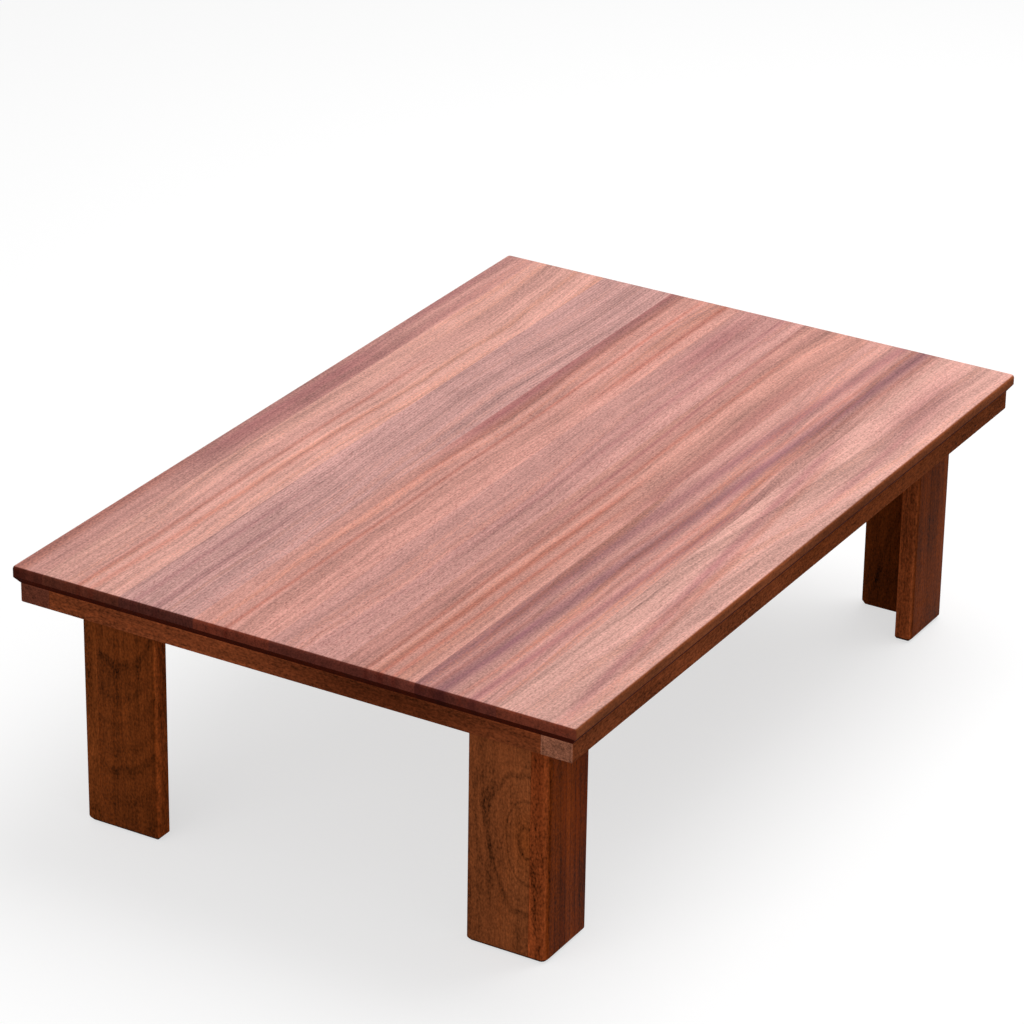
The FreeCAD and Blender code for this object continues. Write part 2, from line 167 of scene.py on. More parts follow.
@dataclass(frozen=True)
class WoodFinish:
    """What the boards of one part of the table share: contrasts, pores, gloss, and arrises rubbed by hands
    and lightened by a painted highlight.
    """

    slot: str
    stretch: float
    band_contrast: float
    streak_contrast: float
    hair_contrast: float
    grit_contrast: float
    mottle_contrast: float
    purple: Colour
    orange: Colour
    pore: Colour
    pore_rate: float
    pore_length: float
    wander: float
    gloss_roughness: float
    specular: float
    bump: float
    highlight_and_wear: float
    highlight_and_wear_reach: float
    highlit_and_worn_as_one: bool = False


@dataclass(frozen=True)
class Clouds:
    """A cloudy pattern: clouds per metre, its finer layers, their strength and the pattern's own step."""

    rate: float
    detail: float = 2.0
    roughness: float = 0.5
    step: Optional[tuple[float, float, float]] = None


class Recipe:
    """The node tree of a material or of the world, put together step by step."""

    def __init__(self, owner: Union[bpy.types.Material, bpy.types.World]) -> None:
        """Start from the owner's own shader.

        Args:
            owner: The material or the world.
        """
        owner.use_nodes = True
        self.owner = owner
        self.tree = owner.node_tree
        self.shader = self.tree.nodes.get("Principled BSDF") or self.tree.nodes["Background"]

    def node(self, kind: str, **settings: Any) -> bpy.types.Node:
        """Add a node and set its options.

        Args:
            kind: The node's type.
            settings: The options to set on it.

        Returns:
            The new node.
        """
        made = self.tree.nodes.new(kind)
        for key, setting in settings.items():
            setattr(made, key, setting)
        return made

    def feed(self, socket: Socket, value: Feed) -> None:
        """Link a socket to another, or set it to a constant.

        Args:
            socket: The input.
            value: An output to link, or a constant.
        """
        if isinstance(value, bpy.types.NodeSocket):
            self.tree.links.new(value, socket)
        else:
            socket.default_value = value

    def reckon(self, operation: str, first: Feed, second: Feed = 0.0, clamp: bool = False) -> Socket:
        """Do sums with one or two numbers.

        Args:
            operation: The sum's name.
            first: The first number.
            second: The second number.
            clamp: Whether the result is held between nought and one.

        Returns:
            The result.
        """
        made = self.node("ShaderNodeMath", operation=operation, use_clamp=clamp)
        self.feed(made.inputs[0], first)
        self.feed(made.inputs[1], second)
        return made.outputs[0]

    def weigh(self, *terms: tuple[Feed, float]) -> Socket:
        """Add up numbers, each times its own weight.

        Args:
            terms: Pairs of a number and its weight.

        Returns:
            The total.
        """
        total: Feed = 0.0
        for value, weight in terms:
            made = self.node("ShaderNodeMath", operation="MULTIPLY_ADD")
            self.feed(made.inputs[0], value)
            self.feed(made.inputs[1], weight)
            self.feed(made.inputs[2], total)
            total = made.outputs[0]
        return total

    def ease(self, value: Feed, low: float, high: float) -> Socket:
        """Rise smoothly from nought to one as a value passes from low to high.

        Args:
            value: The number that rises.
            low: Where the result is nought.
            high: Where the result is one.

        Returns:
            The eased number.
        """
        made = self.node("ShaderNodeMapRange", interpolation_type="SMOOTHSTEP")
        self.feed(made.inputs["Value"], value)
        self.feed(made.inputs["From Min"], low)
        self.feed(made.inputs["From Max"], high)
        return made.outputs["Result"]

    def point(self, x: Feed, y: Feed, z: Feed) -> Socket:
        """Make a point of three numbers.

        Args:
            x: The first number.
            y: The second number.
            z: The third number.

        Returns:
            The point.
        """
        made = self.node("ShaderNodeCombineXYZ")
        for socket, value in zip(made.inputs, (x, y, z)):
            self.feed(socket, value)
        return made.outputs[0]

    def split(self, point: Feed) -> list[Socket]:
        """Take a point apart.

        Args:
            point: The point.

        Returns:
            Its three numbers.
        """
        made = self.node("ShaderNodeSeparateXYZ")
        self.feed(made.inputs[0], point)
        return list(made.outputs)

    def shift(self, point: Feed, by: Sequence[float]) -> Socket:
        """Move a pattern's points by a fixed step.

        Args:
            point: The points.
            by: The step.

        Returns:
            The moved points.
        """
        made = self.node("ShaderNodeMapping", vector_type="POINT")
        self.feed(made.inputs["Vector"], point)
        made.inputs["Location"].default_value = by
        return made.outputs[0]

    def shade(self, name: str, value: Feed) -> None:
        """Link or set the shader's own input. Args: name: the input, value: a link or a constant."""
        self.feed(self.shader.inputs[name], value)

    def times(self, first: Feed, second: Feed, clamp: bool = False) -> Socket:
        """Multiply. Args: first, second: the numbers, clamp: held to one or not. Returns: the product."""
        return self.reckon("MULTIPLY", first, second, clamp)

    def squares(self, first: Socket, second: Socket) -> Socket:
        """Add up two squares. Args: first, second: the numbers. Returns: the sum of their squares."""
        return self.reckon("ADD", self.times(first, first), self.times(second, second))

    def bell(self, square: Socket) -> Socket:
        """Fall off like a bell. Args: square: a distance squared. Returns: one at nought, less outwards."""
        return self.reckon("EXPONENT", self.times(square, -1.0))

    def noise(self, point: Feed, clouds: Clouds) -> Socket:
        """Read a cloudy pattern, centred on nought.

        Args:
            point: Where it is read.
            clouds: The pattern.

        Returns:
            A number that is mostly between minus and plus a third.
        """
        if clouds.step:
            point = self.shift(point, clouds.step)
        made = self.node("ShaderNodeTexNoise", noise_dimensions="3D")
        self.feed(made.inputs["Vector"], point)
        made.inputs["Scale"].default_value = clouds.rate
        made.inputs["Detail"].default_value = clouds.detail
        made.inputs["Roughness"].default_value = clouds.roughness
        return self.reckon("SUBTRACT", made.outputs[0], 0.5)

    def blend(self, share: Feed, first: Feed, second: Feed, how: str = "MIX") -> Socket:
        """Lay one colour over another.

        Args:
            share: How much of the second colour shows.
            first: The colour below.
            second: The colour above.
            how: The way they combine.

        Returns:
            The colour that results.
        """
        made = self.node("ShaderNodeMix", data_type="RGBA", blend_type=how, clamp_factor=True)
        self.feed(made.inputs[MIX_SHARE], share)
        for index, colour in ((MIX_FIRST, first), (MIX_SECOND, second)):
            if not isinstance(colour, bpy.types.NodeSocket):
                colour = (*colour, 1.0)
            self.feed(made.inputs[index], colour)
        return made.outputs[MIX_COLOUR]

    def scale_colour(self, colour: Feed, by: Feed) -> Socket:
        """Make a colour lighter or darker.

        Args:
            colour: The colour.
            by: The factor.

        Returns:
            The new colour.
        """
        made = self.node("ShaderNodeVectorMath", operation="SCALE")
        self.feed(made.inputs[0], colour)
        self.feed(made.inputs["Scale"], by)
        return made.outputs[0]

    def emboss(self, height: Feed, strength: float, depth: float) -> None:
        """Give the surface a fine relief.

        Args:
            height: The relief's height, from nought to one.
            strength: How much of it shows.
            depth: How deep one is, in metres.
        """
        made = self.node("ShaderNodeBump")
        made.inputs["Strength"].default_value = strength
        made.inputs["Distance"].default_value = depth
        self.feed(made.inputs["Height"], height)
        self.feed(self.shader.inputs["Normal"], made.outputs[0])


def node_middle(name: str) -> Vector:
    """Find the middle of a piece of the frame. Args: name: the piece. Returns: its middle."""
    low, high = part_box(name)
    return (Vector(low) + Vector(high)) / 2


@dataclass(frozen=True)
class GrainPlace:
    """Where patterns are read in a board: across its grain, along it and through the board."""

    recipe: Recipe
    across: Socket
    along: Socket
    deep: Socket
    seeds: tuple[float, ...]

    def points(self, stretch: float) -> Socket:
        """Draw points out along the grain. Args: stretch: one is not drawn out. Returns: the points."""
        drawn_out = self.recipe.point(self.across, self.recipe.times(self.along, stretch), self.deep)
        return self.recipe.shift(drawn_out, self.seeds)


# The wood's cloudy patterns, from its slowest drift to its finest hairs, and its two stains
DRIFT = Clouds(5.0, 2.0, 0.45)
TREMBLE = Clouds(28.0, 1.0)
RAGGED = Clouds(26.0, 4.0, 0.6)
BAND = Clouds(42.0, 3.0, 0.55)
STREAK = Clouds(170.0, 3.0, 0.6, (3.1, 0.7, 5.3))
HAIR = Clouds(820.0, 1.0, 0.6)
GRIT = Clouds(540.0)
MOTTLE = Clouds(11.0, 3.0, 0.55)
PURPLE_PATCH = Clouds(26.0, 2.0, 0.5, (9.4, 2.2, 1.9))
ORANGE_PATCH = Clouds(75.0, 2.0, 0.55, (1.3, 8.2, 4.4))

# How far a board's seed moves its patterns along each axis
SEED_STEPS = (1.7, 2.3, 3.1)

# How fast patterns change along the grain, the hairs' as a multiple of the finish's own
SLOW_STRETCH = 0.45
GRIT_STRETCH = 0.6
HAIR_STRETCH = 2.7

# The tremble's share of the grain's wander
TREMBLE_SHARE = 0.12

# Fine rings to a broad one, where their lines start, and the broad ones' share of the contrast
FINE_RINGS = 4
FINE_LINE = 0.2
BROAD_SHARE = 0.7

# Between which values a pattern or a face's slope turns from nought to one
FLAT_EASE = (0.66, 0.97)
END_EASE = (0.3, 0.62)
BEVEL_EASE = (0.15, 0.45)
UNDER_EASE = (0.75, 0.95)
PURPLE_EASE = (0.02, 0.2)
ORANGE_EASE = (0.05, 0.2)
PORE_EASE = (0.06, 0.24)

# What adds to the orange patches
ORANGE_GRIT = 0.4
HEART_POWER = 3.0
HEART_ORANGE = 0.7

# The pattern that the pores come from, and how the bands crowd them
SPECK_DETAIL = 1.0
SPECK_ROUGHNESS = 0.55
PORE_CROWDING = 0.25

# How a stripe follows the drift, fades at its ends and is broken up by the streaks
STRIPE_DRIFT = 0.012
STRIPE_FADE = 0.09
STRIPE_BREAK = 1.2

# How much an arris is rubbed and lightened by a painted highlight on average, and how much the mottle changes
# it
WORN_AND_HIGHLIT_BASE = 0.8
WORN_AND_HIGHLIT_MOTTLE = 1.6

# How much duller each thing makes the wood
EDGE_DULL = 0.35
PORE_DULL = 0.3
MOTTLE_DULL = 0.16
BAND_DULL = -0.1
HAIR_DULL = 0.08
WORN_DULL = 0.12

# The relief: its depth in metres, its level, and how far each thing rises above it
RELIEF_DEPTH = 0.0003
RELIEF_LEVEL = 0.6
PORE_RISE = -1.0
HAIR_RISE = 0.5
STREAK_RISE = 0.6


@dataclass(frozen=True)
class WoodDresser:
    """Makes a board's own wood from its finish and from how it was cut."""

    finish: WoodFinish

    def dress(self, board: Board) -> bpy.types.Material:
        """Make one board's material.

        Args:
            board: The board's own look.

        Returns:
            The material.
        """
        finish = self.finish
        recipe = Recipe(bpy.data.materials.new("wood_" + board.node))
        place = recipe.node("ShaderNodeTexCoord").outputs["Object"]
        table_place = recipe.split(place)
        local = recipe.shift(place, -node_middle(board.node))
        parts = recipe.split(local)
        seeds = tuple(board.seed * step for step in SEED_STEPS)
        straight = GrainPlace(recipe, *(parts[axis] for axis in board.cut.value), seeds)

        slow = straight.points(SLOW_STRETCH)
        drift = recipe.noise(slow, DRIFT)
        wandering = recipe.weigh(
            (straight.across, 1.0),
            (straight.along, board.slant),
            (drift, finish.wander),
            (recipe.noise(slow, TREMBLE), finish.wander * TREMBLE_SHARE),
        )
        bent = replace(straight, across=wandering)

        heart = self.knot_heart(board.rings.knot, bent)
        ring = self.ring_lines(board.rings, bent, slow, heart)
        fibre = bent.points(finish.stretch)
        band = recipe.noise(fibre, BAND)
        streak = recipe.noise(fibre, STREAK)
        hair = recipe.noise(bent.points(finish.stretch * HAIR_STRETCH), HAIR)
        grit = recipe.noise(straight.points(GRIT_STRETCH), GRIT)
        mottle = recipe.noise(recipe.shift(local, seeds), MOTTLE)
        worn_and_highlit = self.worn_and_highlit(recipe, board, table_place, mottle)
        lightness = recipe.weigh(
            (1.0, 1.0),
            (ring, -board.rings.contrast),
            (band, finish.band_contrast),
            (streak, finish.streak_contrast),
            (hair, finish.hair_contrast),
            (grit, finish.grit_contrast),
            (mottle, finish.mottle_contrast),
            # The arrises are lighter, partly as rubbing and partly as a painted highlight.
            (worn_and_highlit, finish.highlight_and_wear),
        )

        normal = recipe.split(recipe.node("ShaderNodeNewGeometry").outputs["Normal"])
        flat = recipe.ease(recipe.reckon("ABSOLUTE", normal[board.cut.value[2]]), *FLAT_EASE)
        colour = recipe.scale_colour(self.face_tone(recipe, board, normal, flat), lightness)
        purple = recipe.times(recipe.ease(recipe.noise(fibre, PURPLE_PATCH), *PURPLE_EASE), board.purple)
        colour = recipe.blend(purple, colour, finish.purple, "MULTIPLY")
        patches = recipe.weigh((recipe.noise(fibre, ORANGE_PATCH), 1.0), (grit, ORANGE_GRIT))
        orange = recipe.times(recipe.ease(patches, *ORANGE_EASE), board.orange)
        if heart:
            orange = recipe.weigh((orange, 1.0), (recipe.reckon("POWER", heart, HEART_POWER), HEART_ORANGE))
        colour = recipe.blend(orange, colour, finish.orange, "MULTIPLY")
        for stripe in board.stripes:
            shown = self.stripe(recipe, stripe, table_place, drift, streak)
            colour = recipe.blend(shown, colour, stripe.colour, "MULTIPLY")

        pores = self.pores(board, bent, band)
        recipe.shade("Base Color", recipe.blend(pores, colour, finish.pore, "MULTIPLY"))
        roughness = recipe.weigh(
            (1.0, finish.gloss_roughness + EDGE_DULL),
            (flat, -EDGE_DULL),
            (pores, PORE_DULL),
            (mottle, MOTTLE_DULL),
            (band, BAND_DULL),
            (hair, HAIR_DULL),
            (worn_and_highlit, WORN_DULL),
        )
        recipe.shade("Roughness", recipe.reckon("ADD", roughness, 0.0, clamp=True))
        relief = recipe.weigh(
            (pores, PORE_RISE),
            (hair, HAIR_RISE),
            (streak, STREAK_RISE),
            (1.0, RELIEF_LEVEL),
        )
        recipe.emboss(relief, finish.bump, RELIEF_DEPTH)
        recipe.shade("Specular IOR Level", finish.specular)
        return recipe.owner

    def knot_heart(self, knot: Optional[Knot], bent: GrainPlace) -> Optional[Socket]:
        """Find how near the heart of a board's knot is.

        Args:
            knot: The knot, if the board has one.
            bent: The place, with the grain's wander in it.

        Returns:
            One at the heart, falling to nought round it, or nothing without a knot.
        """
        if knot is None:
            return None
        recipe = bent.recipe
        wide, long = knot.reach_across, knot.reach_along
        off_across = recipe.weigh((bent.across, 1 / wide), (1.0, -knot.across / wide))
        off_along = recipe.weigh((bent.along, 1 / long), (1.0, -knot.along / long))
        return recipe.bell(recipe.squares(off_across, off_along))

    def ring_lines(self, rings: Rings, bent: GrainPlace, slow: Socket, heart: Optional[Socket]) -> Socket:
        """Draw the dark late wood of the tree's rings as this board cuts them.

        Args:
            rings: How the board cuts the rings.
            bent: The place, with the grain's wander in it.
            slow: Points for slow changes.
            heart: How near the heart of a knot is, if there is one.

        Returns:
            Nought in pale early wood, up to one in dark late wood.
        """
        recipe = bent.recipe
        out = recipe.weigh((bent.across, 1.0), (1.0, -rings.across))
        down = recipe.weigh((bent.deep, 1.0), (bent.along, -rings.rise), (1.0, -rings.deep))
        phase = recipe.weigh(
            (recipe.reckon("SQRT", recipe.squares(out, down)), rings.rate),
            (recipe.noise(slow, RAGGED), rings.ragged),
            (1.0, rings.phase),
        )
        if heart and rings.knot:
            phase = recipe.weigh((phase, 1.0), (heart, rings.knot.turns))
        broad = recipe.ease(recipe.reckon("SINE", recipe.times(phase, WHOLE_TURN)), rings.line, 1.0)
        fine_wave = recipe.reckon("SINE", recipe.times(phase, WHOLE_TURN * FINE_RINGS))
        fine = recipe.ease(fine_wave, FINE_LINE, 1.0)
        return recipe.weigh((broad, BROAD_SHARE), (fine, 1 - BROAD_SHARE))

    def stripe(
        self, recipe: Recipe, stripe: Stripe, place: Sequence[Socket], drift: Socket, streak: Socket
    ) -> Socket:
        """Draw one stripe along the top, a curve through its three places.

        Args:
            recipe: The material's tree.
            stripe: The stripe.
            place: Where it is read, as three numbers.
            drift: The grain's slow wander.
            streak: The grain's streaks, which break the stripe up.

        Returns:
            How much of the stripe shows, from nought to one.
        """
        down = recipe.weigh((place[1], -1 / TOP_LENGTH), (1.0, 0.5))
        # The curve is far + first x down + second x down squared, which meets the middle halfway down
        first = 4 * stripe.middle - 3 * stripe.far - stripe.near
        second = 2 * stripe.far - 4 * stripe.middle + 2 * stripe.near
        off = recipe.weigh(
            (place[0], 1 / TOP_WIDTH),
            (1.0, 0.5 - stripe.far),
            (down, -first),
            (recipe.times(down, down), -second),
            (drift, STRIPE_DRIFT),
        )
        off = recipe.times(off, TOP_WIDTH / stripe.width)
        core = recipe.bell(recipe.times(off, off))
        begun = recipe.ease(down, stripe.start - STRIPE_FADE, stripe.start + STRIPE_FADE)
        ended = recipe.ease(down, stripe.end + STRIPE_FADE, stripe.end - STRIPE_FADE)
        shown = recipe.times(core, recipe.times(begun, ended))
        broken = recipe.weigh((1.0, stripe.strength), (streak, stripe.strength * STRIPE_BREAK))
        return recipe.times(shown, broken, clamp=True)

    def worn_and_highlit(self, recipe: Recipe, board: Board, place: Sequence[Socket], mottle: Socket) -> Socket:
        """Find the arrises, where hands and cloths rub the finish thin and where a painted highlight lightens
        the edge.

        Args:
            recipe: The material's tree.
            board: The board's own look.
            place: Where it is read, as three numbers.
            mottle: A cloudy pattern that breaks the wear up.

        Returns:
            How rubbed and how much lit by the painted highlight the place is, from nought to one.
        """
        low, high = TOP_BOX if self.finish.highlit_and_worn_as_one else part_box(board.node)
        closeness = []
        for number, least, most in zip(place, low, high):
            middle, half = (least + most) / 2, (most - least) / 2
            away = recipe.reckon("ABSOLUTE", recipe.reckon("SUBTRACT", number, middle))
            closeness.append(recipe.ease(away, half - self.finish.highlight_and_wear_reach, half))
        first, second, third = closeness
        either = recipe.times(third, recipe.reckon("MAXIMUM", first, second))
        pairs = recipe.reckon("MAXIMUM", recipe.times(first, second), either)
        return recipe.times(pairs, recipe.weigh((1.0, WORN_AND_HIGHLIT_BASE), (mottle, WORN_AND_HIGHLIT_MOTTLE)), clamp=True)

    def face_tone(self, recipe: Recipe, board: Board, normal: Sequence[Socket], flat: Socket) -> Feed:
        """Choose the tone by which way a face looks: the board's face, its edges, its end grain or a downward
        face. The edge tone is painted light and shade, and the bevel tone is painted shade.

        Args:
            recipe: The material's tree.
            board: The board's own look.
            normal: Which way the face looks, as three numbers.
            flat: One on the board's face, nought on its edges.

        Returns:
            The tone of each face.
        """
        tone: Feed = board.tone
        # The edges are the board's own wood, painted lighter or darker than its face as light falls on them.
        if board.painted_edge_shading:
            tone = recipe.blend(flat, board.painted_edge_shading, tone)
        if board.end_tone:
            endward = recipe.ease(recipe.reckon("ABSOLUTE", normal[board.cut.value[1]]), *END_EASE)
            tone = recipe.blend(endward, tone, board.end_tone)
        downward = recipe.times(normal[2], -1.0)
        # The bevel tone is painted shade, darker as the face turns down; the under tone covers faces that
        # look straight down.
        for sloping_tone, easing in ((board.painted_bevel_shade, BEVEL_EASE), (board.under_tone, UNDER_EASE)):
            if sloping_tone:
                tone = recipe.blend(recipe.ease(downward, *easing), tone, sloping_tone)
        return tone

    def pores(self, board: Board, bent: GrainPlace, band: Socket) -> Socket:
        """Scatter the wood's open pores, short dark dashes along the grain.

        Args:
            board: The board's own look.
            bent: The place, with the grain's wander in it.
            band: The broad bands, in some of which the pores crowd.

        Returns:
            How open the wood is, from nought to one.
        """
        recipe, rate = bent.recipe, self.finish.pore_rate
        dashes = bent.points(1 / (rate * self.finish.pore_length))
        speck = recipe.noise(dashes, Clouds(rate, SPECK_DETAIL, SPECK_ROUGHNESS))
        crowded = recipe.weigh((speck, 1.0), (band, PORE_CROWDING))
        return recipe.times(recipe.ease(crowded, *PORE_EASE), board.pores)


# How the modelling tools are set, in metres, degrees and counts
MERGE_DISTANCE = 0.00001
FINE_MERGE_DISTANCE = 0.000002
FLAT_DEGREES = 1.0
SHARP_DEGREES = 32.0
SMOOTH_DEGREES = 40.0
EASED_STEPS = 2
POINT_SIZE = 0.001


def only(piece: bpy.types.Object) -> None:
    """Select one object and nothing else.

    Args:
        piece: The object.
    """
    bpy.ops.object.select_all(action="DESELECT")
    piece.select_set(True)
    bpy.context.view_layer.objects.active = piece


def apply_all(piece: bpy.types.Object) -> None:
    """Apply an object's modifiers and its place.

    Args:
        piece: The object.
    """
    only(piece)
    for modifier in list(piece.modifiers):
        bpy.ops.object.modifier_apply(modifier=modifier.name)
    bpy.ops.object.transform_apply(location=True, rotation=True, scale=True)


def primitive(add: Callable[..., set[str]], **settings: Any) -> bpy.types.Object:
    """Add a primitive at its size and place, with nothing else selected.

    Args:
        add: The operator that adds it.
        settings: Its size and place.

    Returns:
        The primitive, its place applied.
    """
    bpy.ops.object.select_all(action="DESELECT")
    add(**settings)
    piece = bpy.context.object
    apply_all(piece)
    return piece


def smooth(piece: bpy.types.Object, degrees: float = SMOOTH_DEGREES) -> None:
    """Shade an object smooth. Args: piece: the object, degrees: the angle at which an edge stays sharp."""
    only(piece)
    bpy.ops.object.shade_smooth_by_angle(angle=math.radians(degrees))


def give(piece: bpy.types.Object, material: bpy.types.Material) -> None:
    """Put one material on the whole of an object. Args: piece: the object, material: the material."""
    piece.data.materials.clear()
    piece.data.materials.append(material)


def fit(piece: bpy.types.Object, slot: str, *nodes: str) -> None:
    """Fix a new piece to the table in the place of pieces of the frame.

    Args:
        piece: The new piece.
        slot: Not used.
        nodes: The pieces of the frame that it stands for.
    """
    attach(piece, "root")
    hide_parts(*nodes)
    log.info("%s: %d faces", piece.name, len(piece.data.polygons))


def eased_copy(node: str, width: float) -> bpy.types.Object:
    """Copy a piece of the frame and take the sharpness off its edges, as sandpaper does.

    Args:
        node: The piece of the frame.
        width: How wide the eased edges are.

    Returns:
        The new piece.
    """
    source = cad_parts[node]
    copy = bpy.data.objects.new(node + "_eased", source.data.copy())
    bpy.context.scene.collection.objects.link(copy)
    copy.matrix_world = source.matrix_world.copy()
    apply_all(copy)
    bpy.ops.object.mode_set(mode="EDIT")
    bpy.ops.mesh.select_all(action="SELECT")
    bpy.ops.mesh.remove_doubles(threshold=MERGE_DISTANCE)
    bpy.ops.mesh.dissolve_limited(angle_limit=math.radians(FLAT_DEGREES))
    bpy.ops.mesh.normals_make_consistent(inside=False)
    bpy.ops.object.mode_set(mode="OBJECT")
    easing = copy.modifiers.new("easing", "BEVEL")
    easing.width = width
    easing.segments = EASED_STEPS
    easing.limit_method = "ANGLE"
    easing.angle_limit = math.radians(SHARP_DEGREES)
    apply_all(copy)
    smooth(copy)
    return copy


TOP_FINISH = WoodFinish(
    slot="top_wood",
    stretch=0.012,
    band_contrast=1.0,
    streak_contrast=0.85,
    hair_contrast=0.55,
    grit_contrast=1.15,
    mottle_contrast=0.35,
    purple=(0.62, 0.52, 0.66),
    orange=(1.0, 0.82, 0.64),
    pore=(0.62, 0.5, 0.52),
    pore_rate=820.0,
    pore_length=0.004,
    wander=0.04,
    gloss_roughness=0.42,
    specular=0.03,
    bump=0.35,
    highlight_and_wear=0.16,
    highlight_and_wear_reach=0.0045,
    highlit_and_worn_as_one=True,
)

RIM_FINISH = WoodFinish(
    slot="rim_wood",
    stretch=0.03,
    band_contrast=1.0,
    streak_contrast=1.1,
    hair_contrast=0.9,
    grit_contrast=1.9,
    mottle_contrast=0.9,
    purple=(0.6, 0.5, 0.5),
    orange=(1.1, 0.9, 0.6),
    pore=(0.45, 0.34, 0.3),
    pore_rate=700.0,
    pore_length=0.004,
    wander=0.02,
    gloss_roughness=0.5,
    specular=0.012,
    bump=0.4,
    highlight_and_wear=0.35,
    highlight_and_wear_reach=0.0022,
)

LEG_FINISH = WoodFinish(
    slot="leg_wood",
    stretch=0.05,
    band_contrast=1.1,
    streak_contrast=1.1,
    hair_contrast=0.9,
    grit_contrast=1.6,
    mottle_contrast=1.1,
    purple=(0.62, 0.5, 0.46),
    orange=(1.15, 0.95, 0.6),
    pore=(0.62, 0.52, 0.44),
    pore_rate=620.0,
    pore_length=0.0035,
    wander=0.03,
    gloss_roughness=0.48,
    specular=0.012,
    bump=0.4,
    highlight_and_wear=0.3,
    highlight_and_wear_reach=0.0025,
)

INNER_FINISH = WoodFinish(
    slot="inner_wood",
    stretch=0.03,
    band_contrast=0.8,
    streak_contrast=0.8,
    hair_contrast=0.8,
    grit_contrast=0.6,
    mottle_contrast=0.6,
    purple=(0.8, 0.74, 0.7),
    orange=(1.0, 0.88, 0.72),
    pore=(0.55, 0.45, 0.4),
    pore_rate=800.0,
    pore_length=0.008,
    wander=0.015,
    gloss_roughness=0.62,
    specular=0.15,
    bump=0.5,
    highlight_and_wear=0.2,
    highlight_and_wear_reach=0.002,
)


# Painted shade: the planks' sides and the bevel that faces down are painted darker than their face.
TOP_EDGE_PAINTED_SHADE = paint(139, 77, 46)
TOP_BEVEL_PAINTED_SHADE = paint(66, 16, 2)
TOP_UNDER_TONE = paint(146, 92, 66)
RUST: Colour = (0.72, 0.42, 0.34)
PLUM: Colour = (0.66, 0.5, 0.58)


def plank(number: int, tone: Colour, end: Colour, *stripes: Stripe, **look: Any) -> Board:
    """Describe one plank of the top.

    Args:
        number: Its place from the left.
        tone: The colour of its face.
        end: The colour of its end grain, darker than its face partly because end grain is and partly as
            painted shade.
        stripes: Its own stripes.
        look: How it was cut and streaked.

    Returns:
        The plank's look.
    """
    return Board(
        node=f"top_plank_{number}",
        cut=Cut.LENGTHWISE,
        seed=float(number),
        tone=tone,
        painted_edge_shading=TOP_EDGE_PAINTED_SHADE,
        end_tone=end,
        painted_bevel_shade=TOP_BEVEL_PAINTED_SHADE,
        under_tone=TOP_UNDER_TONE,
        stripes=stripes,
        **look,
    )


